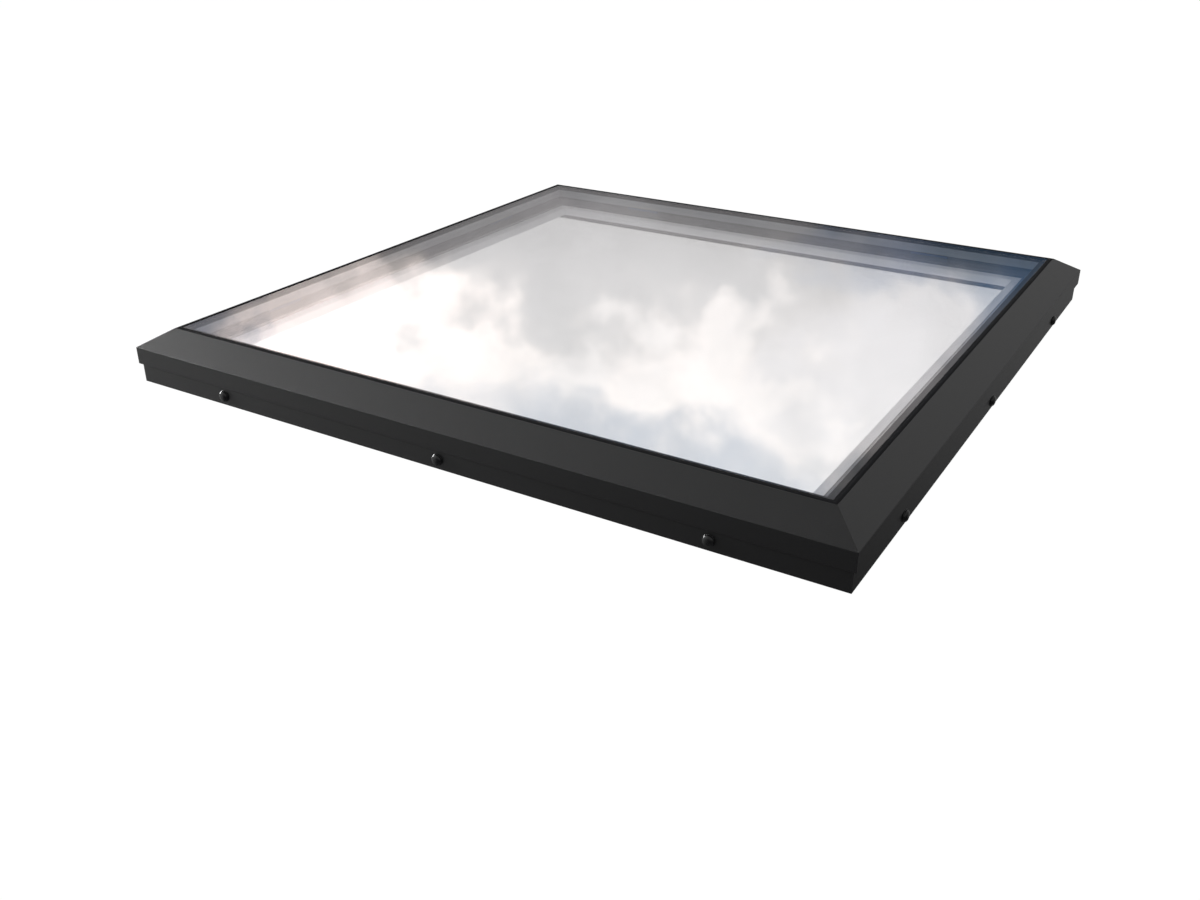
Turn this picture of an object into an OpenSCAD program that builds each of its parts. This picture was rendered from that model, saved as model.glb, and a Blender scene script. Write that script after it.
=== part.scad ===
// Fixed flat-glass roof skylight, made to drop over a square timber or block kerb.
// The skirt's lower edge lies on z = 0, and the middle of the plan is at x = 0, y = 0.
// Each side is drawn along +X with its outer face on y = 0, then turned into its place:
// "inset" means the distance inwards from that outer face.

/* [Overall] */
// Width over the frame, along X
frame_w = 1000; // [500:10:2000]
// Length over the frame, along Y
frame_l = 1000; // [500:10:2000]

/* [Frame section] */
// Height from the skirt's lower edge to the top of the cap
frame_h = 71.8; // [66:0.2:110]
// Height of the skirt, up to the step
skirt_h = 25.8; // [20:0.2:28]
// How far the skirt stands back under the step
skirt_inset = 3.6; // [2:0.2:6]
// Height of the upright face above the step
face_h = 23.1; // [14:0.1:30]
// Width of the sloping cap, in plan
cap_w = 38; // [34:0.5:60]
// Thickness of the hollow leg that hangs beside the kerb
leg_t = 11.8; // [9:0.2:20]
// Wall of the hollow section
wall = 2; // [1.4:0.1:2.4]
// Rounding of the long outer edges
edge_r = 0.8; // [0.4:0.1:1.5]
// Depth of the gasket groove in the cap's inner wall
groove_d = 4; // [2:0.2:5]
// Height of the gasket groove
groove_t = 2; // [1.2:0.1:2.4]
// How far the groove's middle lies under the top of the cap
groove_drop = 7.8; // [7:0.1:9]

/* [Corner cleats] */
// Length of each arm, from the cleat's outer corner
cleat_arm = 70; // [40:1:100]
// Height of a cleat
cleat_h = 9; // [5:0.5:9.5]

/* [Glass unit] */
// Gap between the cap's inner wall and the edge of the glass
edge_gap = 6.2; // [4:0.1:10]
// How far the glass lies under the top of the cap
glass_drop = 0.4; // [0.2:0.1:1.5]
// Thickness of the outer pane
outer_pane_t = 4; // [4:0.5:8]
// Height of the cavity between the panes
cavity_h = 14; // [10:1:16]
// Thickness of the inner pane
inner_pane_t = 6.4; // [4:0.1:8.8]
// Ground arris on the edges of the panes
arris = 0.5; // [0.2:0.1:1]
// Width of the secondary seal outside the spacer
seal_w = 4; // [3:0.5:8]
// Width of a spacer bar
spacer_w = 6.5; // [5.5:0.5:12]
// Wall of a spacer bar
spacer_wall = 0.6; // [0.4:0.1:1]
// Bevel on the outer corners of a spacer bar
spacer_bevel = 1.5; // [0.5:0.1:2]
// Thickness of the butyl between spacer and pane
butyl_t = 0.5; // [0.3:0.1:0.8]
// How far the butyl stops short of the spacer's inner face
butyl_back = 0.5; // [0.2:0.1:1]
// Length of a corner key's arm inside a spacer bar
key_arm = 30; // [15:1:50]

/* [Gaskets and packers] */
// Depth of the weather gasket between frame and glass
gasket_d = 10; // [9:0.5:14]
// Wall of the weather gasket
gasket_wall = 1.5; // [1:0.1:1.8]
// Thickness of the weather gasket's crown
gasket_crown_t = 2.2; // [1.4:0.1:3]
// Width and depth of the two fine grooves in the crown
crown_groove = 0.4; // [0.2:0.1:0.6]
// Thickness of the gasket bed under the inner pane
bed_t = 4.8; // [3:0.1:8]
// Width of the gasket bed
bed_w = 24.1; // [14:0.1:30]
// How far the bed starts inside the edge of the glass
bed_back = 2; // [0.5:0.5:4]
// Thickness of the bed's flat base
bed_base_t = 1.8; // [1:0.1:2.5]
// Number of ribs on the bed
bed_ribs = 5; // [3:1:7]
// Thickness of a bed rib
bed_rib_t = 2.2; // [1:0.1:3]
// Length of an edge packer
packer_l = 60; // [30:5:100]
// Height of an edge packer
packer_h = 17; // [8:0.5:18]
// Distance from a corner of the frame to the middle of a packer
packer_end = 230; // [120:5:240]

/* [Liner] */
// Width of the hollow liner, which is the thickness of the kerb it lies on
kerb_t = 70; // [60:1:120]
// Thickness of the liner
liner_t = 13; // [10:0.5:16]
// Outer wall of the liner
liner_wall = 2; // [1.4:0.1:2.6]
// Thickness of the webs between the liner's chambers
web_t = 1.2; // [0.8:0.1:2]
// Number of chambers across the liner
chambers = 4; // [4:1:6]
// Rounding of the liner's inner edges
liner_r = 1.5; // [0.5:0.1:2]

/* [Kerb seal] */
// Width of the seal's hollow bulb
bulb_w = 9; // [6:0.5:12]
// How far the bulb hangs under the liner
bulb_h = 5; // [3:0.5:6]
// Wall of the bulb
bulb_wall = 1.2; // [0.8:0.1:1.6]
// Thickness of the stem that pushes into the liner
stem_t = 2.6; // [2:0.1:4]
// Width of the barb at the end of the stem
barb_w = 5; // [4:0.5:8]
// Height of the barb
barb_h = 2.4; // [1.5:0.1:3]

/* [Fixings] */
// Distance from a corner of the frame to the first kerb screw
fix_end = 155; // [100:5:300]
// Height of the kerb screws above the skirt's lower edge
fix_z = 12.5; // [10:0.5:15]
// Diameter of a kerb screw's shank
screw_d = 4.8; // [4:0.1:6]
// Length of a kerb screw under its head
screw_l = 25; // [20:1:60]
// Diameter of a kerb screw's head
head_d = 9.2; // [8:0.1:10]
// Height of a kerb screw's head
head_h = 2.4; // [2:0.1:2.6]
// Outer diameter of a cup washer
washer_d = 12.2; // [11.5:0.1:12.4]
// Thickness of a cup washer
washer_t = 0.8; // [0.6:0.1:1]
// Height of a cup washer's rim
washer_rim_h = 1.8; // [1.2:0.1:2]
// Diameter of a dome cap
cap_d = 14.8; // [14.6:0.1:18]
// Height of a dome cap
cap_h = 5; // [4.8:0.1:7]
// Wall of a dome cap
cap_wall = 1; // [0.8:0.1:1.1]
// Height of the dome cap's straight rim
cap_rim_h = 0.9; // [0.5:0.1:1.5]
// Distance from a corner of the frame to the first liner screw
liner_fix_end = 110; // [100:5:300]
// Diameter of a liner screw's shank
liner_screw_d = 4.2; // [3.5:0.1:5]
// Length of a liner screw, with its head
liner_screw_l = 22; // [18:1:26]
// Diameter of a liner screw's countersunk head
liner_head_d = 8; // [7:0.1:9]
// Height of a liner screw's countersunk head
liner_head_h = 2.4; // [2:0.1:3]

/* [Clearances] */
// Clearance round a screw's shank
shank_gap = 0.1; // [0.05:0.05:0.3]
// Clearance of pieces that slide into a section or a gap
slide_gap = 0.2; // [0.1:0.05:0.4]

/* [Hidden] */
$fn = 64;
SIDES = ["front", "right", "back", "left"];
CORNERS = ["front_left", "front_right", "back_right", "back_left"];

// How far a cutting shape runs past the face it cuts
past = 1;
// Depth of the wedge that mitres every length, more than any section is wide
mitre_reach = 200;
// Steps in each quarter or smaller arc of an outline
arc_steps = 5;

// Insets and heights of the frame section
leg_in = skirt_inset + leg_t;
brow_z = skirt_h + face_h;
cap_rise = frame_h - brow_z;
cap_angle = atan2(cap_rise, cap_w);
groove_z = frame_h - groove_drop;

// The glass unit, from the top down
glass_z = frame_h - glass_drop;
cavity_top = glass_z - outer_pane_t;
cavity_bottom = cavity_top - cavity_h;
unit_z = cavity_bottom - inner_pane_t;
seat_z = unit_z - bed_t;
liner_z = seat_z - liner_t;

// Insets of the glass unit and what carries it
glass_in = cap_w + edge_gap;
spacer_in = glass_in + seal_w;
spacer_end = spacer_in + spacer_w;
bed_in = glass_in + bed_back;
liner_in = leg_in + kerb_t;

// The liner's chambers
chamber_w = (kerb_t - 2 * liner_wall - (chambers - 1) * web_t) / chambers;
function chamber_in(i) = leg_in + liner_wall + i * (chamber_w + web_t);
function chamber_mid(i) = chamber_in(i) + chamber_w / 2;
liner_fix_in = chamber_mid(0);
seal_in = chamber_mid(2);

// ---- Outlines ----

function unit(v) = v / norm(v);

// Points of the arc of radius r that rounds corner b between a and c, or b itself when r is 0
function corner_arc(a, b, c, r) =
    r <= 0 ? [b] :
    let (
        to_a = unit(a - b),
        to_c = unit(c - b),
        half = acos(to_a * to_c) / 2,
        centre = b + unit(to_a + to_c) * r / sin(half),
        first = b + to_a * r / tan(half) - centre,
        start = atan2(first.y, first.x),
        turn = sign(cross(b - a, c - b)) * (180 - 2 * half)
    )
    [for (i = [0 : arc_steps])
        let (angle = start + turn * i / arc_steps)
        centre + r * [cos(angle), sin(angle)]];

// An outline with each corner rounded to its own radius
function rounded(points, radii) =
    let (n = len(points))
    [for (i = [0 : n - 1])
        each corner_arc(points[(i + n - 1) % n], points[i], points[(i + 1) % n], radii[i])];

// Height of the cap's outer face at an inset
function cap_z(inset) = brow_z + inset * tan(cap_angle);

// Height of the cap's inner face at an inset
function cap_under_z(inset) = cap_z(inset) - wall / cos(cap_angle);

module rect(inset_0, z_0, inset_1, z_1) {
    translate([inset_0, z_0]) square([inset_1 - inset_0, z_1 - z_0]);
}

// ---- Sides and corners ----

function side_length(i) = i % 2 == 0 ? frame_w : frame_l;

// Puts something drawn for a side into its place: 0 front, 1 right, 2 back, 3 left
module on_side(i) {
    rotate([0, 0, 90 * i])
        translate([-side_length(i) / 2, -side_length(i + 1) / 2, 0])
            children();
}

// A length of a section, mitred at both ends
module mitred(i) {
    side = side_length(i);
    on_side(i) intersection() {
        rotate([90, 0, 90]) linear_extrude(side) children();
        translate([0, 0, -past]) linear_extrude(frame_h + 2 * past)
            polygon([[0, 0], [side, 0], [side - mitre_reach, mitre_reach],
                     [mitre_reach, mitre_reach]]);
    }
}

// One ring of a section, with its four corners closed
module ring() {
    for (i = [0 : 3]) mitred(i) children();
}

// Puts something at the three fixing places of a side
module at_fixings(i, end) {
    for (x = [end, side_length(i) / 2, side_length(i) - end])
        translate([x, 0, 0]) children();
}

// ---- Frame ----

module frame_outline() {
    polygon(rounded(
        [[skirt_inset, 0], [skirt_inset, skirt_h], [0, skirt_h], [0, brow_z],
         [cap_w, frame_h], [cap_w, seat_z], [leg_in, seat_z], [leg_in, 0]],
        [edge_r, 0, edge_r, edge_r, edge_r, 0, 0, edge_r]));
}

module head_chamber() {
    inner = cap_w - wall;
    boss_in = cap_w - groove_d - wall;
    difference() {
        polygon([[wall, skirt_h + wall], [leg_in - wall, skirt_h + wall],
                 [leg_in - wall, seat_z + wall], [inner, seat_z + wall],
                 [inner, cap_under_z(inner)], [wall, cap_under_z(wall)]]);
        rect(boss_in, groove_z - groove_t / 2 - wall, cap_w, frame_h);
    }
}

module frame_section() {
    difference() {
        frame_outline();
        rect(skirt_inset + wall, wall, leg_in - wall, skirt_h);
        head_chamber();
        rect(cap_w - groove_d, groove_z - groove_t / 2, cap_w + past, groove_z + groove_t / 2);
    }
}

module frame(i) {
    color([0.13, 0.13, 0.14]) difference() {
        mitred(i) frame_section();
        on_side(i) at_fixings(i, fix_end)
            translate([0, leg_in + past, fix_z]) rotate([90, 0, 0])
                cylinder(d = screw_d + 2 * shank_gap, h = leg_in + 2 * past);
        on_side(i) at_fixings(i, liner_fix_end)
            translate([0, liner_fix_in, seat_z - past])
                cylinder(d = liner_screw_d + 2 * shank_gap, h = wall + 2 * past);
    }
}

// An L-shaped block that joins two lengths inside their upper chambers, clear of the sloping cap
module corner_cleat(i) {
    cleat_z = seat_z + wall;
    clear_in = (cleat_z + cleat_h - cap_under_z(0)) / tan(cap_angle) + slide_gap;
    cleat_in = max(leg_in + slide_gap, clear_in);
    cleat_end = cap_w - wall - slide_gap;
    far = cleat_in + cleat_arm;
    color([0.75, 0.76, 0.78]) on_side(i)
        translate([0, 0, cleat_z]) linear_extrude(cleat_h)
            polygon([[cleat_in, cleat_in], [far, cleat_in], [far, cleat_end],
                     [cleat_end, cleat_end], [cleat_end, far], [cleat_in, far]]);
}

// ---- Liner and kerb seal ----

module liner_section() {
    difference() {
        polygon(rounded(
            [[leg_in, liner_z], [leg_in, seat_z], [liner_in, seat_z], [liner_in, liner_z]],
            [0, 0, liner_r, liner_r]));
        for (i = [0 : chambers - 1])
            rect(chamber_in(i), liner_z + liner_wall, chamber_in(i) + chamber_w, seat_z - liner_wall);
        rect(seal_in - stem_t / 2 - slide_gap, liner_z - past,
             seal_in + stem_t / 2 + slide_gap, liner_z + liner_wall + past);
    }
}

module liner(i) {
    color([0.86, 0.87, 0.88]) difference() {
        mitred(i) liner_section();
        on_side(i) at_fixings(i, liner_fix_end) translate([0, liner_fix_in, liner_z]) {
            translate([0, 0, -past])
                cylinder(d = liner_screw_d + 2 * shank_gap, h = liner_t + 2 * past);
            translate([0, 0, -slide_gap])
                cylinder(d1 = liner_head_d + 2 * slide_gap, d2 = liner_screw_d + 2 * shank_gap,
                         h = liner_head_h + slide_gap);
        }
    }
}

// Lower half of an oval, of half width a and depth h
function bulb_points(a, h) =
    [for (i = [0 : 2 * arc_steps])
        let (angle = 180 + 90 * i / arc_steps) [a * cos(angle), h * sin(angle)]];

module kerb_seal_section() {
    stem_h = liner_wall + slide_gap;
    translate([seal_in, liner_z]) {
        difference() {
            polygon(bulb_points(bulb_w / 2, bulb_h));
            translate([0, -bulb_wall])
                polygon(bulb_points(bulb_w / 2 - bulb_wall, bulb_h - 2 * bulb_wall));
        }
        rect(-stem_t / 2, -bulb_wall, stem_t / 2, stem_h + barb_h / 2);
        polygon([[-barb_w / 2, stem_h], [barb_w / 2, stem_h],
                 [stem_t / 2, stem_h + barb_h], [-stem_t / 2, stem_h + barb_h]]);
    }
}

module kerb_seal(i) {
    color([0.07, 0.07, 0.07]) mitred(i) kerb_seal_section();
}

// ---- Glass unit ----

// A plate between two heights, with ground edges, whose sides lie at an inset
module pane(z_0, z_1) {
    w = frame_w - 2 * glass_in;
    l = frame_l - 2 * glass_in;
    t = z_1 - z_0;
    translate([0, 0, z_0]) intersection() {
        translate([-w / 2, 0, 0]) rotate([90, 0, 90]) linear_extrude(w) ground(l, t);
        translate([0, l / 2, 0]) rotate([90, 0, 0]) linear_extrude(l) ground(w, t);
    }
}

module ground(width, t) {
    half = width / 2;
    polygon([[-half + arris, 0], [half - arris, 0], [half, arris], [half, t - arris],
             [half - arris, t], [-half + arris, t], [-half, t - arris], [-half, arris]]);
}

module outer_pane() {
    color([0.80, 0.88, 0.92, 0.35]) pane(cavity_top, glass_z);
}

module inner_pane() {
    color([0.80, 0.88, 0.92, 0.35]) pane(unit_z, cavity_bottom);
}

// Section of a spacer bar, shrunk all round by a margin
module spacer_outline(margin) {
    polygon([[spacer_in + spacer_bevel + margin / 2, cavity_bottom + butyl_t + margin],
             [spacer_end - margin, cavity_bottom + butyl_t + margin],
             [spacer_end - margin, cavity_top - butyl_t - margin],
             [spacer_in + spacer_bevel + margin / 2, cavity_top - butyl_t - margin],
             [spacer_in + margin, cavity_top - butyl_t - spacer_bevel - margin / 2],
             [spacer_in + margin, cavity_bottom + butyl_t + spacer_bevel + margin / 2]]);
}

// A bar is cut square and stops where the corner keys' blocks begin
module spacer(i) {
    color([0.30, 0.31, 0.33]) on_side(i)
        translate([spacer_end, 0, 0]) rotate([90, 0, 90])
            linear_extrude(side_length(i) - 2 * spacer_end) difference() {
                spacer_outline(0);
                spacer_outline(spacer_wall);
            }
}

// Draws a section for the side that runs along Y from the corner
module along_y(length) {
    mirror([1, -1, 0]) rotate([90, 0, 90]) linear_extrude(length) children();
}

// A block at the corner, with an arm into each of the two bars that meet there
module spacer_key(i) {
    margin = spacer_wall + slide_gap / 2;
    arm_in = spacer_in + spacer_bevel;
    arm_l = spacer_end + key_arm - arm_in;
    color([0.12, 0.12, 0.12]) on_side(i) {
        intersection() {
            rotate([90, 0, 90]) linear_extrude(spacer_end) spacer_outline(0);
            along_y(spacer_end) spacer_outline(0);
        }
        translate([arm_in, 0, 0]) rotate([90, 0, 90]) linear_extrude(arm_l) spacer_outline(margin);
        translate([0, arm_in, 0]) along_y(arm_l) spacer_outline(margin);
    }
}

module butyl(z) {
    color([0.05, 0.05, 0.05]) ring()
        rect(spacer_in + spacer_bevel, z, spacer_end - butyl_back, z + butyl_t);
}

module edge_seal() {
    fill = spacer_in + spacer_bevel;
    color([0.05, 0.05, 0.05]) ring()
        polygon([[glass_in, cavity_bottom], [fill, cavity_bottom], [fill, cavity_bottom + butyl_t],
                 [spacer_in, cavity_bottom + butyl_t + spacer_bevel],
                 [spacer_in, cavity_top - butyl_t - spacer_bevel],
                 [fill, cavity_top - butyl_t], [fill, cavity_top], [glass_in, cavity_top]]);
}

// ---- Gaskets and packers ----

// Height of the gasket's crown at an inset: an arc through the glass top and the cap's top
function crown_z(inset) =
    let (
        half = edge_gap / 2,
        r = (half * half + glass_drop * glass_drop) / (2 * glass_drop),
        off = inset - cap_w - half
    )
    glass_z + sqrt(r * r - off * off) - (r - glass_drop);

module weather_gasket_section() {
    foot_z = frame_h - gasket_d;
    crown_under = glass_z - gasket_crown_t;
    stem_in = cap_w - groove_d + slide_gap;
    stem_half = (groove_t - slide_gap) / 2;
    steps = 2 * arc_steps;
    difference() {
        polygon(concat(
            [[cap_w, foot_z], [cap_w + gasket_wall, foot_z], [cap_w + gasket_wall, crown_under],
             [glass_in - gasket_wall, crown_under], [glass_in - gasket_wall, foot_z],
             [glass_in, foot_z]],
            [for (i = [0 : steps])
                let (inset = glass_in - edge_gap * i / steps) [inset, crown_z(inset)]],
            [[cap_w, groove_z + stem_half], [stem_in, groove_z + stem_half],
             [stem_in, groove_z - stem_half], [cap_w, groove_z - stem_half]]));
        for (inset = [cap_w + gasket_wall, glass_in - gasket_wall])
            translate([inset, crown_z(inset)]) rotate(45) square(crown_groove, center = true);
    }
}

module weather_gasket(i) {
    color([0.10, 0.10, 0.11]) mitred(i) weather_gasket_section();
}

module bed_gasket(i) {
    pitch = (bed_w - bed_rib_t) / (bed_ribs - 1);
    color([0.07, 0.07, 0.07]) mitred(i) {
        rect(bed_in, seat_z, bed_in + bed_w, seat_z + bed_base_t);
        for (k = [0 : bed_ribs - 1])
            rect(bed_in + k * pitch, seat_z, bed_in + k * pitch + bed_rib_t, unit_z);
    }
}

module edge_packers() {
    color([0.16, 0.30, 0.55])
        for (i = [0 : 3]) on_side(i)
            for (x = [packer_end, side_length(i) - packer_end])
                translate([x - packer_l / 2, cap_w + slide_gap, seat_z])
                    cube([packer_l, edge_gap - 2 * slide_gap, packer_h]);
}

// ---- Fixings ----

// Puts a fixing on the skirt's outer face, drawn standing up from z = 0 as if the face were level
module on_skirt(i) {
    on_side(i) at_fixings(i, fix_end)
        translate([0, skirt_inset, fix_z]) rotate([90, 0, 0]) children();
}

module kerb_screws(i) {
    tip_l = screw_d;
    recess_l = head_d * 0.55;
    recess_w = 1.1;
    recess_d = head_h * 0.6;
    color([0.70, 0.71, 0.72]) on_skirt(i) translate([0, 0, washer_t]) difference() {
        union() {
            intersection() {
                cylinder(d = head_d, h = head_h);
                translate([0, 0, head_h - head_d]) sphere(r = head_d);
            }
            translate([0, 0, tip_l - screw_l]) cylinder(d = screw_d, h = screw_l - tip_l + head_h / 2);
            translate([0, 0, -screw_l]) cylinder(d1 = 0.4, d2 = screw_d, h = tip_l);
        }
        for (turn = [0, 90]) rotate([0, 0, turn])
            translate([-recess_l / 2, -recess_w / 2, head_h - recess_d])
                cube([recess_l, recess_w, recess_d + past]);
    }
}

module cup_washers(i) {
    rim_in = head_d / 2 + slide_gap;
    color([0.10, 0.10, 0.10]) on_skirt(i) rotate_extrude() {
        translate([screw_d / 2 + shank_gap, 0]) square([washer_d / 2 - screw_d / 2 - shank_gap, washer_t]);
        translate([rim_in, 0]) square([washer_d / 2 - rim_in, washer_rim_h]);
    }
}

// Quarter of a dome's outline: full shoulders and a flattened crown
function dome_points(r, h) =
    [for (i = [0 : 3 * arc_steps])
        let (angle = 90 * i / (3 * arc_steps))
        [i == 3 * arc_steps ? 0 : r * pow(cos(angle), 0.8), h * pow(sin(angle), 0.9)]];

module cover_caps(i) {
    r = cap_d / 2;
    dome_h = cap_h - cap_rim_h;
    color([0.06, 0.06, 0.06]) on_skirt(i) rotate_extrude() difference() {
        polygon(concat([[0, 0], [r, 0]], [for (p = dome_points(r, dome_h)) p + [0, cap_rim_h]]));
        polygon(concat([[0, -past], [r - cap_wall, -past]],
                       [for (p = dome_points(r - cap_wall, dome_h - cap_wall)) p + [0, cap_rim_h]]));
    }
}

module liner_screws(i) {
    tip_l = liner_screw_d;
    color([0.70, 0.71, 0.72]) on_side(i) at_fixings(i, liner_fix_end)
        translate([0, liner_fix_in, liner_z]) {
            cylinder(d1 = liner_head_d, d2 = liner_screw_d, h = liner_head_h);
            cylinder(d = liner_screw_d, h = liner_screw_l - tip_l);
            translate([0, 0, liner_screw_l - tip_l]) cylinder(d1 = liner_screw_d, d2 = 0.4, h = tip_l);
        }
}

// ---- The whole skylight ----

for (i = [0 : 3]) {
    frame(i);
    corner_cleat(i);
    liner(i);
    spacer(i);
    spacer_key(i);
    weather_gasket(i);
    bed_gasket(i);
    kerb_seal(i);
    kerb_screws(i);
    cup_washers(i);
    cover_caps(i);
    liner_screws(i);
}
outer_pane();
inner_pane();
butyl(cavity_top - butyl_t);  // butyl_upper
butyl(cavity_bottom);  // butyl_lower
edge_seal();
edge_packers();
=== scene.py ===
"""Looks for a fixed flat-glass roof skylight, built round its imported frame.

Lengths are in metres unless a name ends in _mm. The skylight lies on z = 0 with its middle at
the origin, as the frame has it.
"""

import math

import bmesh
import bpy
from mathutils import Matrix, Vector


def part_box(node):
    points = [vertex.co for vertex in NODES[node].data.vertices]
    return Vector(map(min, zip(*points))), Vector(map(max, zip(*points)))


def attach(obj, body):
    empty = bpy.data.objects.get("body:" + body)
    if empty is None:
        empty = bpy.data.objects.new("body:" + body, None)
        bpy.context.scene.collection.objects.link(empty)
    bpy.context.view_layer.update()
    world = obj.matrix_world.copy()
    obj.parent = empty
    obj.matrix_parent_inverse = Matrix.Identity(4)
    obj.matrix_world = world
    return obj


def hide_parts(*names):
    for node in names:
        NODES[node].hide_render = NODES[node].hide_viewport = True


bl_info = {
    "name": "Flat-glass skylight",
    "version": (1, 0, 0),
    "blender": (4, 5, 0),
    "location": "View3D > Sidebar > Skylight",
    "description": "Finishes a fixed roof skylight and sets it in a small studio",
    "category": "Object",
}

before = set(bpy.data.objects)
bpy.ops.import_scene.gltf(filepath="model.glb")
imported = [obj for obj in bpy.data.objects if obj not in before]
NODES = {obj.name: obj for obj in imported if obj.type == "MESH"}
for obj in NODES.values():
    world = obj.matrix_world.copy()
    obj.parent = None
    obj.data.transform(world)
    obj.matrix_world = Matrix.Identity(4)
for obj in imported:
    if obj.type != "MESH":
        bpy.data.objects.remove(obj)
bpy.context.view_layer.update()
SIDES = ("front", "right", "back", "left")
CORNERS = ("front_left", "front_right", "back_right", "back_left")
CAPS_A_SIDE = 3
MM = 0.001


def named(prefix, ends=SIDES):
    """The CAD nodes of one kind, one for each side or corner."""
    return [f"{prefix}_{end}" for end in ends]


# ---- Small helpers ----


def srgb(hex_colour):
    """Linear RGBA of a colour written as #rrggbb."""
    parts = [int(hex_colour[i : i + 2], 16) / 255 for i in (1, 3, 5)]
    linear = [p / 12.92 if p <= 0.04045 else ((p + 0.055) / 1.055) ** 2.4 for p in parts]
    return (*linear, 1.0)


def node(tree, kind, feeds=None, **settings):
    """Adds a node, sets its properties, and feeds its inputs from plain values, from sockets, or
    from the first output of other nodes."""
    made = tree.nodes.new(kind)
    for name, value in settings.items():
        setattr(made, name, value)
    for key, value in (feeds or {}).items():
        if isinstance(value, bpy.types.Node):
            value = value.outputs[0]
        if isinstance(value, bpy.types.NodeSocket):
            tree.links.new(value, made.inputs[key])
        else:
            made.inputs[key].default_value = value
    return made


def new_material(name):
    """A material with nothing in it yet, and its node tree."""
    material = bpy.data.materials.new(name)
    material.use_nodes = True
    material.node_tree.nodes.clear()
    return material, material.node_tree


def shade(colour, share):
    """A linear colour made darker or paler by a share, no paler than white."""
    return (*(min(1.0, share * part) for part in colour[:3]), 1.0)


def cells_per_metre(size_mm):
    """Scale of a texture whose grain has this size."""
    return 1000 / size_mm


def dress(names, material):
    """Gives CAD nodes a material."""
    for name in names:
        piece = NODES[name]
        piece.data.materials.clear()
        piece.data.materials.append(material)


# ---- Materials ----


# How fast a streak changes along its bar, as a share of how fast it changes across it
STREAK_SLOWNESS = 0.02
WHITE = (1, 1, 1, 1)


def powder_coat(finish):
    """Polyester powder coat, baked on aluminium: near black and satin. The powder melts into a
    skin with a very fine orange-peel grain, which breaks up each highlight. The grain is drawn at
    twice its real size, so that it shows from a metre away."""
    material, tree = new_material("powder_coated_aluminium")
    where = node(tree, "ShaderNodeTexCoord").outputs["Object"]
    grain = node(
        tree,
        "ShaderNodeTexNoise",
        {
            "Vector": where,
            "Scale": cells_per_metre(finish.coat_grain_mm),
            "Detail": 2.0,
            "Roughness": 0.6,
        },
    )
    cloudy = node(
        tree, "ShaderNodeTexNoise", {"Vector": where, "Scale": cells_per_metre(60), "Detail": 3.0}
    )
    coat = srgb(finish.coat_colour)
    tone = node(
        tree,
        "ShaderNodeMix",
        {"Factor": cloudy, "A": shade(coat, 0.9), "B": shade(coat, 1.1)},
        data_type="RGBA",
    )
    rough = node(tree, "ShaderNodeMapRange", {"Value": grain, "To Min": 0.34, "To Max": 0.46})
    bump = node(
        tree, "ShaderNodeBump", {"Height": grain, "Strength": 1.0, "Distance": 0.15 * MM}
    )
    skin = node(
        tree,
        "ShaderNodeBsdfPrincipled",
        {"Base Color": tone.outputs["Result"], "IOR": 1.5, "Roughness": rough, "Normal": bump},
    )
    node(tree, "ShaderNodeOutputMaterial", {"Surface": skin})
    return material


def along_the_bars(tree):
    """Object coordinates that follow the four bars of the frame: across a bar, along it and up.
    They run slowly along the bar, so a pattern on them is drawn out into streaks, which turn at
    the mitres as the bars do."""
    where = node(tree, "ShaderNodeTexCoord").outputs["Object"]
    place = node(tree, "ShaderNodeSeparateXYZ", {0: where}).outputs
    east = node(tree, "ShaderNodeMath", {0: place["X"]}, operation="ABSOLUTE")
    north = node(tree, "ShaderNodeMath", {0: place["Y"]}, operation="ABSOLUTE")
    across = node(tree, "ShaderNodeMath", {0: east, 1: north}, operation="MAXIMUM")
    along = node(tree, "ShaderNodeMath", {0: east, 1: north}, operation="MINIMUM")
    slow = node(tree, "ShaderNodeMath", {0: along, 1: STREAK_SLOWNESS}, operation="MULTIPLY")
    return node(tree, "ShaderNodeCombineXYZ", {"X": across, "Y": slow, "Z": place["Z"]})


def extruded(name, colour, roughness, streak_mm, ior, sheen=0.5):
    """Rubber or plastic pushed through a die. Its skin carries faint streaks along its length,
    so the surface is almost even, with a soft sheen that changes a little from line to line."""
    material, tree = new_material(name)
    streaks = node(
        tree,
        "ShaderNodeTexNoise",
        {"Vector": along_the_bars(tree), "Scale": cells_per_metre(streak_mm), "Detail": 2.0},
    )
    where = node(tree, "ShaderNodeTexCoord").outputs["Object"]
    dusty = node(
        tree, "ShaderNodeTexNoise", {"Vector": where, "Scale": cells_per_metre(35), "Detail": 4.0}
    )
    base = srgb(colour)
    tone = node(
        tree,
        "ShaderNodeMix",
        {"Factor": dusty, "A": shade(base, 0.92), "B": shade(base, 1.06)},
        data_type="RGBA",
    )
    rough = node(
        tree,
        "ShaderNodeMapRange",
        {"Value": streaks, "To Min": roughness - 0.04, "To Max": roughness + 0.04},
    )
    bump = node(
        tree, "ShaderNodeBump", {"Height": streaks, "Strength": 0.1, "Distance": 0.05 * MM}
    )
    skin = node(
        tree,
        "ShaderNodeBsdfPrincipled",
        {
            "Base Color": tone.outputs["Result"],
            "IOR": ior,
            "Specular IOR Level": sheen,
            "Roughness": rough,
            "Normal": bump,
        },
    )
    node(tree, "ShaderNodeOutputMaterial", {"Surface": skin})
    return material


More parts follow.
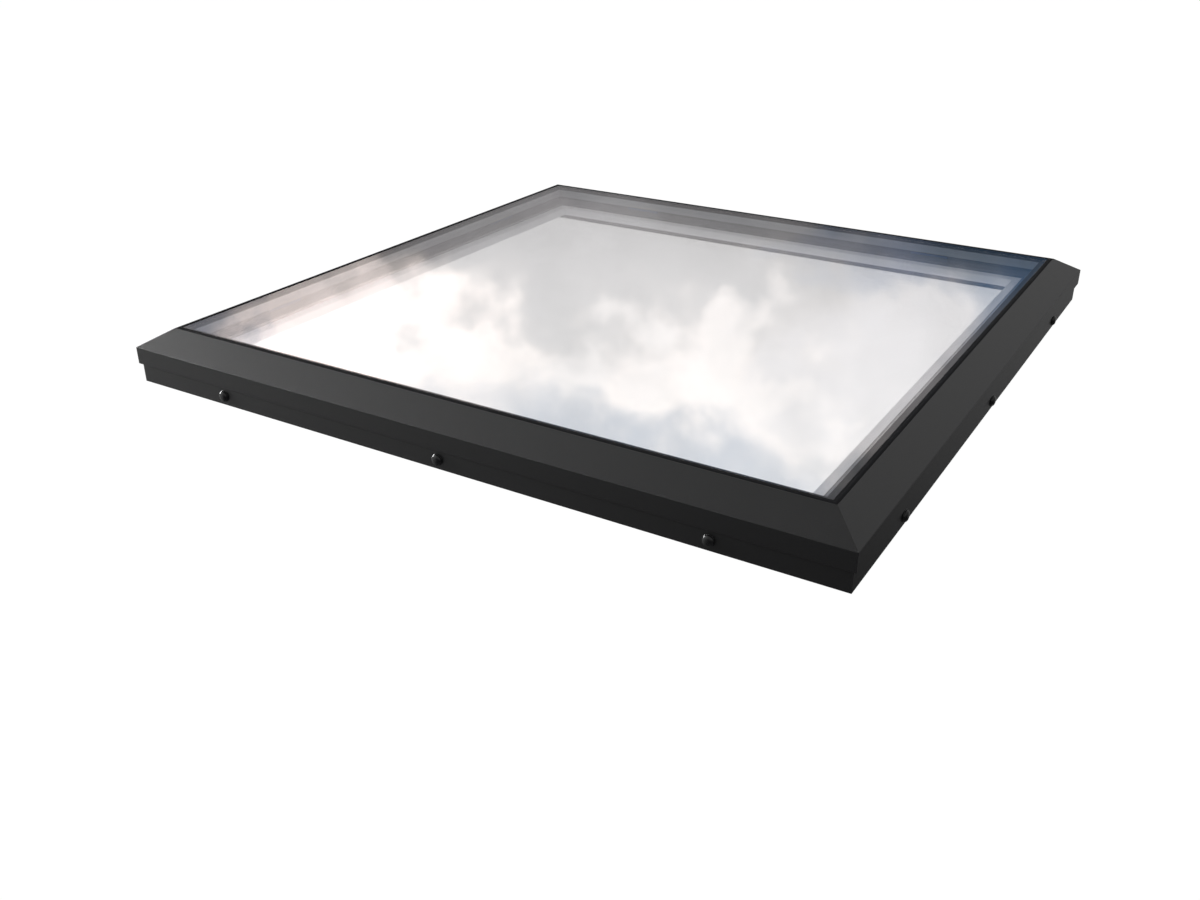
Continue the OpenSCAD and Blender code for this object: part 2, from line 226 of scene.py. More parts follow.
def float_glass(finish):
    """Clear float glass: a flat sheet that mirrors by Fresnel and lets the rest straight through,
    with a trace of green-blue. Light that leaves the sheet meets the mirror at the same strength
    as light that enters it, so the back of each face uses the inverse index."""
    material, tree = new_material("float_glass")
    leaving = node(tree, "ShaderNodeNewGeometry").outputs["Backfacing"]
    index = node(
        tree,
        "ShaderNodeMapRange",
        {"Value": leaving, "To Min": finish.glass_ior, "To Max": 1 / finish.glass_ior},
    )
    mirror_share = node(tree, "ShaderNodeFresnel", {"IOR": index})
    clear = node(tree, "ShaderNodeBsdfTransparent", {"Color": srgb(finish.glass_tint)})
    mirror = node(tree, "ShaderNodeBsdfGlossy", {"Color": WHITE, "Roughness": 0.0})
    sheet = node(tree, "ShaderNodeMixShader", {0: mirror_share, 1: clear, 2: mirror})
    node(tree, "ShaderNodeOutputMaterial", {"Surface": sheet})
    return material


def moulded_gloss(finish):
    """Injection-moulded polypropylene from a polished tool: black and glossy, with the faint
    waves that a thin moulding takes as it cools."""
    material, tree = new_material("gloss_black_plastic")
    where = node(tree, "ShaderNodeTexCoord").outputs["Object"]
    waves = node(
        tree, "ShaderNodeTexNoise", {"Vector": where, "Scale": cells_per_metre(4), "Detail": 1.0}
    )
    rough = node(tree, "ShaderNodeMapRange", {"Value": waves, "To Min": 0.15, "To Max": 0.2})
    bump = node(
        tree, "ShaderNodeBump", {"Height": waves, "Strength": 0.15, "Distance": 0.05 * MM}
    )
    skin = node(
        tree,
        "ShaderNodeBsdfPrincipled",
        {"Base Color": srgb(finish.cap_colour), "IOR": 1.49, "Roughness": rough, "Normal": bump},
    )
    node(tree, "ShaderNodeOutputMaterial", {"Surface": skin})
    return material


def anodised_strip():
    """Rolled aluminium strip, anodised dark grey: a dull metal with fine rolling lines along it,
    which make its sheen a little uneven."""
    material, tree = new_material("dark_anodised_aluminium")
    lines = node(
        tree,
        "ShaderNodeTexNoise",
        {"Vector": along_the_bars(tree), "Scale": cells_per_metre(0.6), "Detail": 2.0},
    )
    rough = node(tree, "ShaderNodeMapRange", {"Value": lines, "To Min": 0.42, "To Max": 0.58})
    skin = node(
        tree,
        "ShaderNodeBsdfPrincipled",
        {"Base Color": srgb("#83868a"), "Metallic": 0.35, "Roughness": rough},
    )
    node(tree, "ShaderNodeOutputMaterial", {"Surface": skin})
    return material


def bare_metal(name, colour, roughness, grain_mm):
    """Plain drawn or sawn metal: bright, with a fine grain that spreads its highlights."""
    material, tree = new_material(name)
    where = node(tree, "ShaderNodeTexCoord").outputs["Object"]
    grain = node(
        tree,
        "ShaderNodeTexNoise",
        {"Vector": where, "Scale": cells_per_metre(grain_mm), "Detail": 3.0},
    )
    rough = node(
        tree,
        "ShaderNodeMapRange",
        {"Value": grain, "To Min": roughness - 0.08, "To Max": roughness + 0.08},
    )
    bump = node(
        tree, "ShaderNodeBump", {"Height": grain, "Strength": 0.15, "Distance": 0.05 * MM}
    )
    skin = node(
        tree,
        "ShaderNodeBsdfPrincipled",
        {"Base Color": srgb(colour), "Metallic": 1.0, "Roughness": rough, "Normal": bump},
    )
    node(tree, "ShaderNodeOutputMaterial", {"Surface": skin})
    return material


# ---- Sizes and colours a user may change ----


class SkylightFinish(bpy.types.PropertyGroup):
    coat_colour: bpy.props.StringProperty(
        name="Coat", description="Colour of the powder coat, as #rrggbb", default="#101011"
    )
    coat_grain_mm: bpy.props.FloatProperty(
        name="Coat grain", description="Size of the coat's grain, in mm", default=1.1, min=0.2
    )
    glass_ior: bpy.props.FloatProperty(
        name="Glass index", description="Refractive index of the glass", default=1.52, min=1.3
    )
    glass_tint: bpy.props.StringProperty(
        name="Glass tint", description="Tint of one glass face, as #rrggbb", default="#fdfdfd"
    )
    liner_colour: bpy.props.StringProperty(
        name="Liner", description="Colour of the PVC-U liner, as #rrggbb", default="#e6e7ea"
    )
    cap_colour: bpy.props.StringProperty(
        name="Caps", description="Colour of the cover caps, as #rrggbb", default="#151516"
    )


class SkylightCaps(bpy.types.PropertyGroup):
    shoulder: bpy.props.FloatProperty(
        name="Shoulder",
        description="How square the shoulders are: 1 is an ellipse, and less is fuller",
        default=0.85,
        min=0.3,
    )
    rim_share: bpy.props.FloatProperty(
        name="Rim", description="Height of the rim, as a share of the cap's", default=0.18, max=0.5
    )
    bead: bpy.props.FloatProperty(
        name="Rim bead",
        description="How far the rim stands out round the dome",
        default=0.35 * MM,
        subtype="DISTANCE",
    )
    segments: bpy.props.IntProperty(
        name="Segments", description="Faces round a cap", default=48, min=16
    )
    rings: bpy.props.IntProperty(
        name="Rings", description="Rows of faces from the rim to the crown", default=24, min=6
    )


class SkylightStage(bpy.types.PropertyGroup):
    camera_place: bpy.props.FloatVectorProperty(
        name="Camera",
        description="Where the camera stands",
        default=(0.7762, -1.4141, 0.6145),
        subtype="TRANSLATION",
    )
    camera_turn: bpy.props.FloatVectorProperty(
        name="Camera turn",
        description="How the camera is turned",
        default=(math.radians(63.584), 0.0, math.radians(31.345)),
        subtype="EULER",
    )
    lens_mm: bpy.props.FloatProperty(name="Lens", description="Focal length, in mm", default=35.0)
    floor_size: bpy.props.FloatProperty(
        name="Floor", description="Side of the floor", default=60.0, subtype="DISTANCE"
    )
    fill_power: bpy.props.FloatProperty(
        name="Fill light", description="Power of the overhead fill", default=30.0, subtype="POWER"
    )
    key_power: bpy.props.FloatProperty(
        name="Key light", description="Power of the key light", default=46.0, subtype="POWER"
    )
    low_power: bpy.props.FloatProperty(
        name="Low light", description="Power of the low side lamp", default=36.0, subtype="POWER"
    )


# ---- Shapes ----


def lathe(name, profile, segments):
    """A closed shape turned round Z from (radius, height) points that run from axis to axis."""
    shape = bmesh.new()
    rings = []
    for radius, height in profile:
        if radius == 0:
            rings.append([shape.verts.new((0, 0, height))])
            continue
        turns = [2 * math.pi * k / segments for k in range(segments)]
        rings.append(
            [shape.verts.new((radius * math.cos(a), radius * math.sin(a), height)) for a in turns]
        )
    for low, high in zip(rings, rings[1:]):
        for k in range(segments):
            following = (k + 1) % segments
            corners = [low[k % len(low)], low[following % len(low)]]
            corners += [high[following % len(high)], high[k % len(high)]]
            corners = list(dict.fromkeys(corners))
            if len(corners) > 2:
                shape.faces.new(corners)
    bmesh.ops.recalc_face_normals(shape, faces=shape.faces)
    for face in shape.faces:
        face.smooth = True
    mesh = bpy.data.meshes.new(name)
    shape.to_mesh(mesh)
    shape.free()
    made = bpy.data.objects.new(name, mesh)
    bpy.context.scene.collection.objects.link(made)
    return made


def socket_id(tree, name):
    """Identifier of a named input of a node group."""
    return next(i.identifier for i in tree.interface.items_tree if i.name == name)


def round_the_frame():
    """Node group that puts an object at even places along each of the four sides. The object is
    drawn standing up from the face that it is fixed to."""
    tree = bpy.data.node_groups.new("round_the_frame", "GeometryNodeTree")
    ports = tree.interface
    ports.new_socket("Geometry", in_out="OUTPUT", socket_type="NodeSocketGeometry")
    ports.new_socket("Geometry", in_out="INPUT", socket_type="NodeSocketGeometry")
    for name, kind in (
        ("Piece", "NodeSocketObject"),
        ("Count", "NodeSocketInt"),
        ("Width", "NodeSocketFloat"),
        ("Length", "NodeSocketFloat"),
        ("Height", "NodeSocketFloat"),
        ("End Distance", "NodeSocketFloat"),
        ("Inset", "NodeSocketFloat"),
        ("Material", "NodeSocketMaterial"),
    ):
        ports.new_socket(name, in_out="INPUT", socket_type=kind)
    given = node(tree, "NodeGroupInput").outputs
    piece = node(tree, "GeometryNodeObjectInfo", {"Object": given["Piece"]}).outputs["Geometry"]
    sides = node(tree, "GeometryNodeJoinGeometry")
    for side in range(4):
        along, across = ("Width", "Length") if side % 2 == 0 else ("Length", "Width")
        half = node(tree, "ShaderNodeMath", {0: given[along], 1: 2.0}, operation="DIVIDE")
        last = node(
            tree, "ShaderNodeMath", {0: half, 1: given["End Distance"]}, operation="SUBTRACT"
        )
        first = node(tree, "ShaderNodeMath", {0: last, 1: -1.0}, operation="MULTIPLY")
        out = node(tree, "ShaderNodeMath", {0: given[across], 1: 2.0}, operation="DIVIDE")
        face = node(tree, "ShaderNodeMath", {0: given["Inset"], 1: out}, operation="SUBTRACT")
        start, end = (
            node(tree, "ShaderNodeCombineXYZ", {"X": x, "Y": face, "Z": given["Height"]})
            for x in (first, last)
        )
        places = node(
            tree,
            "GeometryNodeMeshLine",
            {"Count": given["Count"], "Start Location": start, "Offset": end},
            mode="END_POINTS",
        )
        copies = node(
            tree,
            "GeometryNodeInstanceOnPoints",
            {"Points": places, "Instance": piece, "Rotation": (math.pi / 2, 0, 0)},
        )
        turned = node(
            tree,
            "GeometryNodeTransform",
            {"Geometry": copies, "Rotation": (0, 0, side * math.pi / 2)},
        )
        tree.links.new(turned.outputs[0], sides.inputs[0])
    real = node(tree, "GeometryNodeRealizeInstances", {"Geometry": sides})
    dressed = node(
        tree, "GeometryNodeSetMaterial", {"Geometry": real, "Material": given["Material"]}
    )
    node(tree, "NodeGroupOutput", {"Geometry": dressed})
    return tree


def grown(name, tree, values):
    """A plain mesh object made by a node group with these inputs."""
    host = bpy.data.objects.new(name + "_host", bpy.data.meshes.new(name + "_host"))
    bpy.context.scene.collection.objects.link(host)
    modifier = host.modifiers.new("grow", "NODES")
    modifier.node_group = tree
    for key, value in values.items():
        modifier[socket_id(tree, key)] = value
    bpy.context.view_layer.update()
    evaluated = host.evaluated_get(bpy.context.evaluated_depsgraph_get())
    mesh = bpy.data.meshes.new_from_object(evaluated)
    mesh.name = name
    host.modifiers.remove(modifier)
    bpy.data.objects.remove(host)
    made = bpy.data.objects.new(name, mesh)
    bpy.context.scene.collection.objects.link(made)
    return made


def frame_size():
    """Width and length over the frame's upright faces."""
    low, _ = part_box("frame_front")
    _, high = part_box("frame_back")
    return high.x - low.x, high.y - low.y


# ---- Operators ----


class SKYLIGHT_OT_frame_finish(bpy.types.Operator):
    """Finish the frame, its cleats and the liner"""

    bl_idname = "skylight.frame_finish"
    bl_label = "Frame and liner"

    def execute(self, context):
        finish = context.scene.skylight_finish
        dress(named("frame"), powder_coat(finish))
        mill = bare_metal("mill_aluminium", "#c9cbcd", roughness=0.36, grain_mm=0.8)
        dress(named("corner_cleat", CORNERS), mill)
        liner = extruded(
            "grey_pvc", finish.liner_colour, roughness=0.42, streak_mm=2.0, ior=1.53
        )
        dress(named("liner"), liner)
        return {"FINISHED"}


class SKYLIGHT_OT_glass_unit(bpy.types.Operator):
    """Finish the sealed glass unit: panes, spacer bars, keys and seals"""

    bl_idname = "skylight.glass_unit"
    bl_label = "Glass unit"

    def execute(self, context):
        finish = context.scene.skylight_finish
        dress(("outer_pane", "inner_pane"), float_glass(finish))
        dress(named("spacer"), anodised_strip())
        nylon = extruded("black_nylon", "#1a1a1b", roughness=0.55, streak_mm=3.0, ior=1.53)
        dress(named("spacer_key", CORNERS), nylon)
        butyl = extruded("butyl", "#101011", roughness=0.7, streak_mm=3.0, ior=1.51)
        dress(("butyl_upper", "butyl_lower"), butyl)
        silicone = extruded("silicone", "#141415", roughness=0.6, streak_mm=3.0, ior=1.41)
        dress(("edge_seal",), silicone)
        packer = extruded("blue_plastic", "#28518f", roughness=0.45, streak_mm=3.0, ior=1.49)
        dress(("edge_packers",), packer)
        return {"FINISHED"}


class SKYLIGHT_OT_gaskets(bpy.types.Operator):
    """Finish the weather gasket, the gasket bed and the kerb seal"""

    bl_idname = "skylight.gaskets"
    bl_label = "Gaskets"

    def execute(self, context):
        # Sooty rubber has less sheen than its index alone gives
        black = extruded(
            "epdm", "#18181a", roughness=0.85, streak_mm=1.2, ior=1.52, sheen=0.12
        )
        dress(named("weather_gasket") + named("kerb_seal"), black)
        grey = extruded("grey_epdm", "#4b4b4d", roughness=0.7, streak_mm=1.2, ior=1.52)
        dress(named("bed_gasket"), grey)
        return {"FINISHED"}


def cap_profile(caps, radius, tall):
    """Half outline of a cap: a rolled rim, then full shoulders and a flattened crown."""
    rim = tall * caps.rim_share
    dome_r = radius - caps.bead
    # The rim is eased at its foot, and at its lip by less inwards than downwards
    foot, lip_down, lip_in = 0.3 * MM, 0.25 * MM, 0.12 * MM
    points = [(0, 0), (radius - foot, 0), (radius, foot), (radius, rim - lip_down)]
    points += [(radius - lip_in, rim), (dome_r, rim)]
    for k in range(1, caps.rings + 1):
        angle = math.pi / 2 * k / caps.rings
        out = dome_r * math.cos(angle) ** caps.shoulder if k < caps.rings else 0
        points.append((out, rim + (tall - rim) * math.sin(angle) ** caps.shoulder))
    return points


class SKYLIGHT_OT_cover_caps(bpy.types.Operator):
    """Make the dome caps over the fixings, three a side"""

    bl_idname = "skylight.cover_caps"
    bl_label = "Cover caps"

    def execute(self, context):
        caps = context.scene.skylight_caps
        low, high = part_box("cover_caps_front")
        frame_low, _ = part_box("frame_front")
        radius = (high.z - low.z) / 2
        tall = high.y - low.y
        cap = lathe("cap_shape", cap_profile(caps, radius, tall), caps.segments)
        width, length = frame_size()
        piece = grown(
            "dome_caps",
            round_the_frame(),
            {
                "Piece": cap,
                "Count": CAPS_A_SIDE,
                "Width": width,
                "Length": length,
                "Height": (low.z + high.z) / 2,
                "End Distance": low.x + radius - frame_low.x,
                "Inset": high.y - frame_low.y,
                "Material": moulded_gloss(context.scene.skylight_finish),
            },
        )
        bpy.data.objects.remove(cap)
        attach(piece, "root")
        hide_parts(*named("cover_caps"))
        return {"FINISHED"}


class SKYLIGHT_OT_screws(bpy.types.Operator):
    """Finish the screws and washers"""

    bl_idname = "skylight.screws"
    bl_label = "Screws"

    def execute(self, context):
        steel = bare_metal("stainless_steel", "#b9babc", roughness=0.3, grain_mm=0.5)
        dress(named("kerb_screws") + named("liner_screws"), steel)
        dress(named("cup_washers"), bpy.data.materials["black_nylon"])
        return {"FINISHED"}


# ---- Sky, floor and lamps ----


# Clouds that the glass mirrors towards the camera, as azimuth and elevation of the middle, half
# width and half height in degrees, tilt in degrees, linear colour and cover
CLOUD_PATCHES = (
    ("left glow", (137.2, 19.8), (5.4, 2.4), 0, (2.00, 1.75, 1.68), 0.9),
    ("left notch", (142.5, 18.5), (2.4, 1.4), 0, (0.46, 0.50, 0.61), 0.87),
    ("left haze", (129.3, 14.6), (6.4, 1.9), -10, (0.60, 0.565, 0.585), 0.9),
    ("grey bank", (121.6, 17.6), (8.0, 2.6), -11, (0.48, 0.465, 0.47), 0.95),
    ("bank shoulder", (126.6, 18.6), (2.2, 1.2), 0, (0.56, 0.54, 0.55), 0.55),
    ("thin grey", (106.0, 21.3), (4.4, 4.4), 12, (0.71, 0.69, 0.72), 0.85),
    ("bright tower", (115.0, 21.2), (1.7, 1.8), 12, (1.20, 1.11, 1.07), 0.7),
    ("bright shelf", (111.8, 23.9), (2.8, 1.1), 0, (1.20, 1.11, 1.07), 0.85),
    ("white rim", (122.5, 22.2), (2.8, 1.4), 0, (1.10, 1.04, 1.02), 0.8),
    ("open blue", (117.6, 26.4), (8.4, 2.0), -16, (0.10, 0.19, 0.33), 1.0),
    ("right blue", (105.5, 28.0), (3.0, 1.6), 0, (0.10, 0.16, 0.24), 0.8),
    ("veil", (109.5, 16.9), (4.0, 1.2), 0, (0.36, 0.39, 0.48), 0.8),
    ("blue haze", (108.2, 16.4), (2.3, 1.3), 0, (0.22, 0.26, 0.37), 0.8),
    ("clear evening blue", (99.8, 17.8), (4.3, 3.1), 0, (0.08, 0.15, 0.27), 1.0),
    ("low blue", (102.4, 14.9), (7.2, 1.9), 0, (0.06, 0.11, 0.18), 1.0),
)
# How the sky is stirred: scale of the noise, and its reach in azimuth and elevation in degrees
STIRRING = ((8.0, (20.0, 9.0)), (34.0, (5.0, 3.0)))
# Where a patch has faded out, as the square of its distance in half sizes
CLOUD_EDGE = 2.8
# Linear colours of the sky behind the patches, from its lowest clouds at 0 to its highest at 1
CLOUD_SHADES = ((0.0, (0.42, 0.41, 0.42)), (0.5, (0.78, 0.72, 0.70)), (1.0, (1.30, 1.18, 1.12)))
# Heights between which the clouds thin out, in degrees. To the left, between two azimuths, each
# degree above their base counts for more.
CLOUD_HEIGHTS = (14.5, 24.5)
CLOUD_BASE = 15.0
LEFT_AZIMUTHS = (124.0, 132.0)
LEFT_EXTRA = 2.0
# Middle of the studio's broad window, as seen from the object, and how squarely a direction has to
# face it to see the window's edge and its full glow
WINDOW_SIDE = (-0.966, -0.241, 0.097)
WINDOW_SPREAD = (0.42, 0.85)
# Greys of the studio, from straight down at 0 to straight up at 1
CEILING_SHADES = ((0.0, 0.08), (0.26, 0.0), (0.36, 0.0), (0.5, 0.07), (0.68, 0.48), (1.0, 0.42))
BACK_WALL_SHADES = (
    (0.0, 0.0),
    (0.2, 0.0),
    (0.35, 1.0),
    (0.45, 1.0),
    (0.6, 0.05),
    (0.75, 0.9),
    (1.0, 0.3),
)
# Places and sizes of the lamps
KEY_PLACE = (-2.8, -0.9, 0.72)
KEY_SIZE = 0.8
LOW_PLACE = (-2.85, -0.85, 0.24)
LOW_SIZE = 0.5
FILL_PLACE = (-0.5, -0.6, 3.0)
FILL_SIZE = 2.5
# How far the floor lies under the skylight, so that the two never share a plane
FLOOR_GAP = 0.2 * MM
SENSOR_MM = 36.0


def paint(ramp, stops):
    """Gives a colour ramp its linear colours, from the stop at 0 to the stop at 1."""
    ramp.elements[0].color = (*stops[0][1], 1)
    ramp.elements[1].color = (*stops[-1][1], 1)
    for place, colour in stops[1:-1]:
        ramp.elements.new(place).color = (*colour, 1)


def sky_directions(tree, towards):
    """Azimuth and elevation in degrees, stirred so that the clouds' edges are ragged: wide swirls
    first, then a fine fringe."""
    parts = node(tree, "ShaderNodeSeparateXYZ", {0: towards}).outputs
    bearing = node(tree, "ShaderNodeMath", {0: parts["Y"], 1: parts["X"]}, operation="ARCTAN2")
    slope = node(tree, "ShaderNodeMath", {0: parts["Z"]}, operation="ARCSINE")
    azimuth = node(tree, "ShaderNodeMath", {0: bearing}, operation="DEGREES")
    elevation = node(tree, "ShaderNodeMath", {0: slope}, operation="DEGREES")
    for scale, (sideways, upwards) in STIRRING:
        noise = node(
            tree,
            "ShaderNodeTexNoise",
            {"Vector": towards, "Scale": scale, "Detail": 2.0, "Roughness": 0.5},
        ).outputs["Color"]
        centred = node(
            tree, "ShaderNodeVectorMath", {0: noise, 1: (0.5, 0.5, 0.5)}, operation="SUBTRACT"
        )
        push = node(tree, "ShaderNodeSeparateXYZ", {0: centred}).outputs
        azimuth = node(
            tree,
            "ShaderNodeMath",
            {0: push["X"], 1: sideways, 2: azimuth},
            operation="MULTIPLY_ADD",
        )
        elevation = node(
            tree,
            "ShaderNodeMath",
            {0: push["Y"], 1: upwards, 2: elevation},
            operation="MULTIPLY_ADD",
        )
    return azimuth, elevation


def cloud_cover(tree, azimuth, elevation, place, half, tilt, cover):
    """How much of the sky one cloud patch covers in a direction: a tilted oval with a soft edge."""
    turn = math.radians(tilt)
    east = node(tree, "ShaderNodeMath", {0: azimuth, 1: place[0]}, operation="SUBTRACT")
    up = node(tree, "ShaderNodeMath", {0: elevation, 1: place[1]}, operation="SUBTRACT")
    squares = []
    for east_share, up_share, reach in (
        (math.cos(turn), math.sin(turn), half[0]),
        (-math.sin(turn), math.cos(turn), half[1]),
    ):
        sideways = node(tree, "ShaderNodeMath", {0: east, 1: east_share}, operation="MULTIPLY")
        away = node(
            tree, "ShaderNodeMath", {0: up, 1: up_share, 2: sideways}, operation="MULTIPLY_ADD"
        )
        halves = node(tree, "ShaderNodeMath", {0: away, 1: reach}, operation="DIVIDE")
        squares.append(node(tree, "ShaderNodeMath", {0: halves, 1: 2.0}, operation="POWER"))
    distance = node(tree, "ShaderNodeMath", dict(enumerate(squares)), operation="ADD")
    return node(
        tree,
        "ShaderNodeMapRange",
        {
            "Value": distance,
            "From Min": CLOUD_EDGE,
            "From Max": 0.0,
            "To Min": 0.0,
            "To Max": cover,
        },
        interpolation_type="SMOOTHSTEP",
    )


def sky_dome(tree, towards):
    """Colour of the cloudy sky in a direction."""
    azimuth, elevation = sky_directions(tree, towards)

    # The clouds thin out and brighten upwards, and sooner on the left
    left = node(
        tree,
        "ShaderNodeMapRange",
        {"Value": azimuth, "From Min": LEFT_AZIMUTHS[0], "From Max": LEFT_AZIMUTHS[1]},
        interpolation_type="SMOOTHSTEP",
    )
    above = node(tree, "ShaderNodeMath", {0: elevation, 1: CLOUD_BASE}, operation="SUBTRACT")
    lift = node(tree, "ShaderNodeMath", {0: above, 1: LEFT_EXTRA}, operation="MULTIPLY")
    climb = node(
        tree, "ShaderNodeMath", {0: lift, 1: left, 2: elevation}, operation="MULTIPLY_ADD"
    )
    height = node(
        tree,
        "ShaderNodeMapRange",
        {"Value": climb, "From Min": CLOUD_HEIGHTS[0], "From Max": CLOUD_HEIGHTS[1]},
        interpolation_type="SMOOTHSTEP",
    )
    shades = node(tree, "ShaderNodeValToRGB", {"Fac": height})
    paint(shades.color_ramp, CLOUD_SHADES)

    colour = shades
    for _, place, half, tilt, tone, cover in CLOUD_PATCHES:
        mask = cloud_cover(tree, azimuth, elevation, place, half, tilt, cover)
        colour = node(
            tree,
            "ShaderNodeMix",
            {"Factor": mask, "A": colour, "B": (*tone, 1)},
            data_type="RGBA",
        ).outputs["Result"]

    # Billows inside the clouds
    billows = node(
        tree,
        "ShaderNodeTexNoise",
        {"Vector": towards, "Scale": 14.0, "Detail": 3.0, "Roughness": 0.5, "Distortion": 0.4},
    )
    gain = node(
        tree,
        "ShaderNodeMapRange",
        {"Value": billows, "From Min": 0.3, "From Max": 0.7, "To Min": 0.84, "To Max": 1.16},
    )
    even = node(tree, "ShaderNodeCombineXYZ", {"X": gain, "Y": gain, "Z": gain})
    return node(tree, "ShaderNodeVectorMath", {0: colour, 1: even}, operation="MULTIPLY")


def soft_studio(tree, towards):
    """Brightness of the soft room that the frame and caps see: a pale ceiling that fades to a
    dim floor, a broad window on the left, and a banded wall at the back."""
    parts = node(tree, "ShaderNodeSeparateXYZ", {0: towards}).outputs
    height = node(
        tree, "ShaderNodeMath", {0: parts["Z"], 1: 0.5, 2: 0.5}, operation="MULTIPLY_ADD"
    )
    ceiling, wall = (node(tree, "ShaderNodeValToRGB", {"Fac": height}) for _ in range(2))
    for ramp, stops in (
        (ceiling.color_ramp, CEILING_SHADES),
        (wall.color_ramp, BACK_WALL_SHADES),
    ):
        paint(ramp, [(place, (grey, grey, grey)) for place, grey in stops])

    facing = node(
        tree, "ShaderNodeVectorMath", {0: towards, 1: WINDOW_SIDE}, operation="DOT_PRODUCT"
    ).outputs["Value"]
    window = node(
        tree,
        "ShaderNodeMapRange",
        {"Value": facing, "From Min": WINDOW_SPREAD[0], "From Max": WINDOW_SPREAD[1]},
    )
    # The window is dimmer low down
    window_glow = node(
        tree,
        "ShaderNodeMapRange",
        {"Value": parts["Z"], "From Min": -0.55, "From Max": 0.3, "To Min": 0.46, "To Max": 0.87},
    )
    wall_share = node(
        tree,
        "ShaderNodeMapRange",
        {"Value": parts["Y"], "From Min": 0.3, "From Max": 1.0, "To Min": 0.0, "To Max": 0.35},
    )
    lit = node(
        tree, "ShaderNodeMath", {0: window, 1: window_glow, 2: ceiling}, operation="MULTIPLY_ADD"
    )
    return node(tree, "ShaderNodeMath", {0: wall_share, 1: wall, 2: lit}, operation="MULTIPLY_ADD")


def sky(scene):
    """A plain white backdrop; clouds for what is mirrored sharply, as the glass does; and a soft
    neutral room for everything else."""
    world = bpy.data.worlds.new("studio_sky")
    scene.world = world
    world.use_nodes = True
    tree = world.node_tree
    tree.nodes.clear()
    towards = node(tree, "ShaderNodeTexCoord").outputs["Generated"]
    clouds = node(tree, "ShaderNodeBackground", {"Color": sky_dome(tree, towards)})
    room = node(tree, "ShaderNodeBackground", {"Color": soft_studio(tree, towards)})
    backdrop = node(tree, "ShaderNodeBackground", {"Color": WHITE})
    rays = node(tree, "ShaderNodeLightPath").outputs
    lit = node(tree, "ShaderNodeMixShader", {0: rays["Is Singular Ray"], 1: room, 2: clouds})
    seen = node(tree, "ShaderNodeMixShader", {0: rays["Is Camera Ray"], 1: lit, 2: backdrop})
    node(tree, "ShaderNodeOutputWorld", {"Surface": seen})


def light_table():
    """Matt white paper on a light table: it glows an even white, so it throws no shadow back."""
    material, tree = new_material("studio_paper")
    paper = node(
        tree,
        "ShaderNodeBsdfPrincipled",
        {
            "Base Color": srgb("#272727"),
            "Roughness": 1.0,
            "Specular IOR Level": 0.0,
            "Emission Color": WHITE,
            "Emission Strength": 1.0,
        },
    )
    node(tree, "ShaderNodeOutputMaterial", {"Surface": paper})
    return material


def lamp_glow(name, strength):
    """White glow of a lamp's front. Sheens show it but a sharp mirror does not, so the glass shows
    only sky, and what lies behind the lamp still shows through it."""
    material, tree = new_material(name)
    mirrored = node(tree, "ShaderNodeLightPath").outputs["Is Singular Ray"]
    behind = node(tree, "ShaderNodeNewGeometry").outputs["Backfacing"]
    hidden = node(tree, "ShaderNodeMath", {0: mirrored, 1: behind}, operation="MAXIMUM")
    shown = node(tree, "ShaderNodeMapRange", {"Value": hidden, "To Min": strength, "To Max": 0.0})
    glow = node(tree, "ShaderNodeEmission", {"Color": WHITE, "Strength": shown})
    clear = node(tree, "ShaderNodeBsdfTransparent", {"Color": WHITE})
    both = node(tree, "ShaderNodeAddShader", {0: glow, 1: clear})
    node(tree, "ShaderNodeOutputMaterial", {"Surface": both})
    return material


def hung_lamp(name, place, size, power):
    """A round soft lamp of this power in watts, aimed at the skylight."""
    place = Vector(place)
    turn = (-place).to_track_quat("Z", "Y").to_matrix().to_4x4()
    shape = bmesh.new()
    bmesh.ops.create_circle(
        shape, cap_ends=True, segments=64, radius=size / 2, matrix=Matrix.Translation(place) @ turn
    )
    mesh = bpy.data.meshes.new(name)
    shape.to_mesh(mesh)
    shape.free()
    area = math.pi * size**2 / 4
    mesh.materials.append(lamp_glow(name, power / (math.pi * area)))
    lamp = bpy.data.objects.new(name, mesh)
    lamp.visible_camera = False
    lamp.visible_shadow = False
    bpy.context.scene.collection.objects.link(lamp)


def laid_floor(size):
    """A square floor just under the skylight."""
    half = size / 2
    corners = [(-half, -half), (half, -half), (half, half), (-half, half)]
    mesh = bpy.data.meshes.new("floor")
    mesh.from_pydata([(x, y, -FLOOR_GAP) for x, y in corners], [], [(0, 1, 2, 3)])
    mesh.materials.append(light_table())
    floor = bpy.data.objects.new("floor", mesh)
    floor.visible_glossy = False
    bpy.context.scene.collection.objects.link(floor)


def overhead_fill(power):
    """Light from above for matt surfaces only: no mirror shows the lamp."""
    lamp = bpy.data.lights.new("fill", "AREA")
    lamp.size = FILL_SIZE
    lamp.energy = power
    fill = bpy.data.objects.new("fill", lamp)
    fill.location = FILL_PLACE
    fill.rotation_euler = (-Vector(FILL_PLACE)).to_track_quat("-Z", "Y").to_euler()
    fill.visible_glossy = False
    fill.visible_camera = False
    bpy.context.scene.collection.objects.link(fill)


def standing_camera(stage):
    """The camera, where the stage's settings put it."""
    camera = bpy.data.cameras.new("camera")
    camera.lens = stage.lens_mm
    camera.sensor_width = SENSOR_MM
    stand = bpy.data.objects.new("camera", camera)
    stand.location = stage.camera_place
    stand.rotation_euler = stage.camera_turn
    bpy.context.scene.collection.objects.link(stand)
    bpy.context.scene.camera = stand


# ---- Stage and panel ----


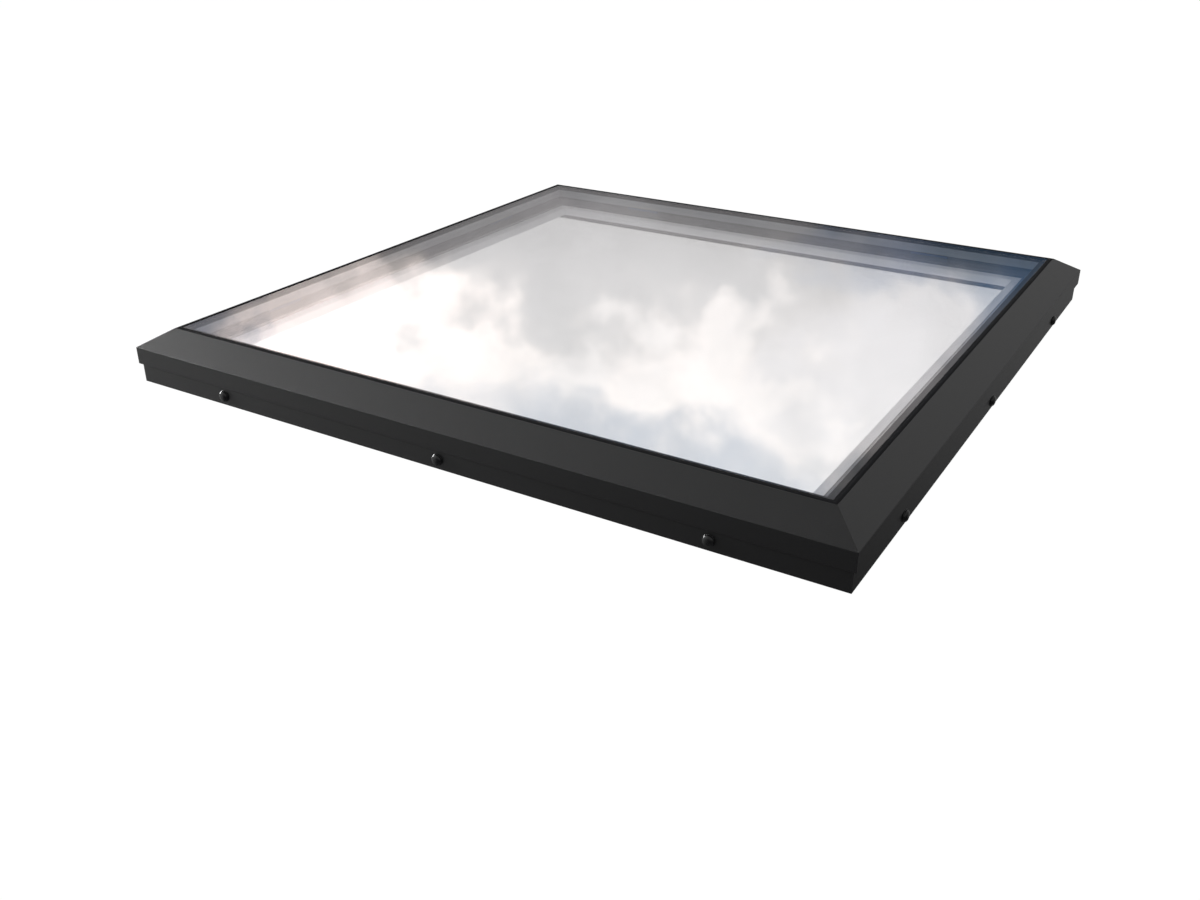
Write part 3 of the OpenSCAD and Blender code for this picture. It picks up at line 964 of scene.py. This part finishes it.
class SKYLIGHT_OT_stage(bpy.types.Operator):
    """Set up the floor, the lights and the camera"""

    bl_idname = "skylight.stage"
    bl_label = "Stage"

    def execute(self, context):
        stage = context.scene.skylight_stage
        context.scene.view_settings.view_transform = "Standard"
        laid_floor(stage.floor_size)
        hung_lamp("key_lamp", KEY_PLACE, KEY_SIZE, stage.key_power)
        hung_lamp("low_lamp", LOW_PLACE, LOW_SIZE, stage.low_power)
        overhead_fill(stage.fill_power)
        sky(context.scene)
        standing_camera(stage)
        return {"FINISHED"}


class SKYLIGHT_PT_panel(bpy.types.Panel):
    """Lists the skylight's settings and steps in the sidebar"""

    bl_label = "Flat-glass skylight"
    bl_idname = "SKYLIGHT_PT_panel"
    bl_space_type = "VIEW_3D"
    bl_region_type = "UI"
    bl_category = "Skylight"

    def draw(self, context):
        for group in PROPERTY_GROUPS:
            box = self.layout.box()
            settings = getattr(context.scene, group)
            for key in settings.bl_rna.properties.keys():
                if key not in ("rna_type", "name"):
                    box.prop(settings, key)
        for operator in OPERATORS:
            self.layout.operator(operator.bl_idname)


PROPERTY_GROUPS = {
    "skylight_finish": SkylightFinish,
    "skylight_caps": SkylightCaps,
    "skylight_stage": SkylightStage,
}
OPERATORS = (
    SKYLIGHT_OT_frame_finish,
    SKYLIGHT_OT_glass_unit,
    SKYLIGHT_OT_gaskets,
    SKYLIGHT_OT_cover_caps,
    SKYLIGHT_OT_screws,
    SKYLIGHT_OT_stage,
)


def register():
    for name, group in PROPERTY_GROUPS.items():
        bpy.utils.register_class(group)
        setattr(bpy.types.Scene, name, bpy.props.PointerProperty(type=group))
    for operator in OPERATORS:
        bpy.utils.register_class(operator)
    bpy.utils.register_class(SKYLIGHT_PT_panel)


def unregister():
    bpy.utils.unregister_class(SKYLIGHT_PT_panel)
    for operator in reversed(OPERATORS):
        bpy.utils.unregister_class(operator)
    for name, group in PROPERTY_GROUPS.items():
        delattr(bpy.types.Scene, name)
        bpy.utils.unregister_class(group)


def main():
    register()
    bpy.ops.skylight.frame_finish()
    bpy.ops.skylight.glass_unit()
    bpy.ops.skylight.gaskets()
    bpy.ops.skylight.cover_caps()
    bpy.ops.skylight.screws()
    bpy.ops.skylight.stage()


if __name__ == "__main__":
    main()
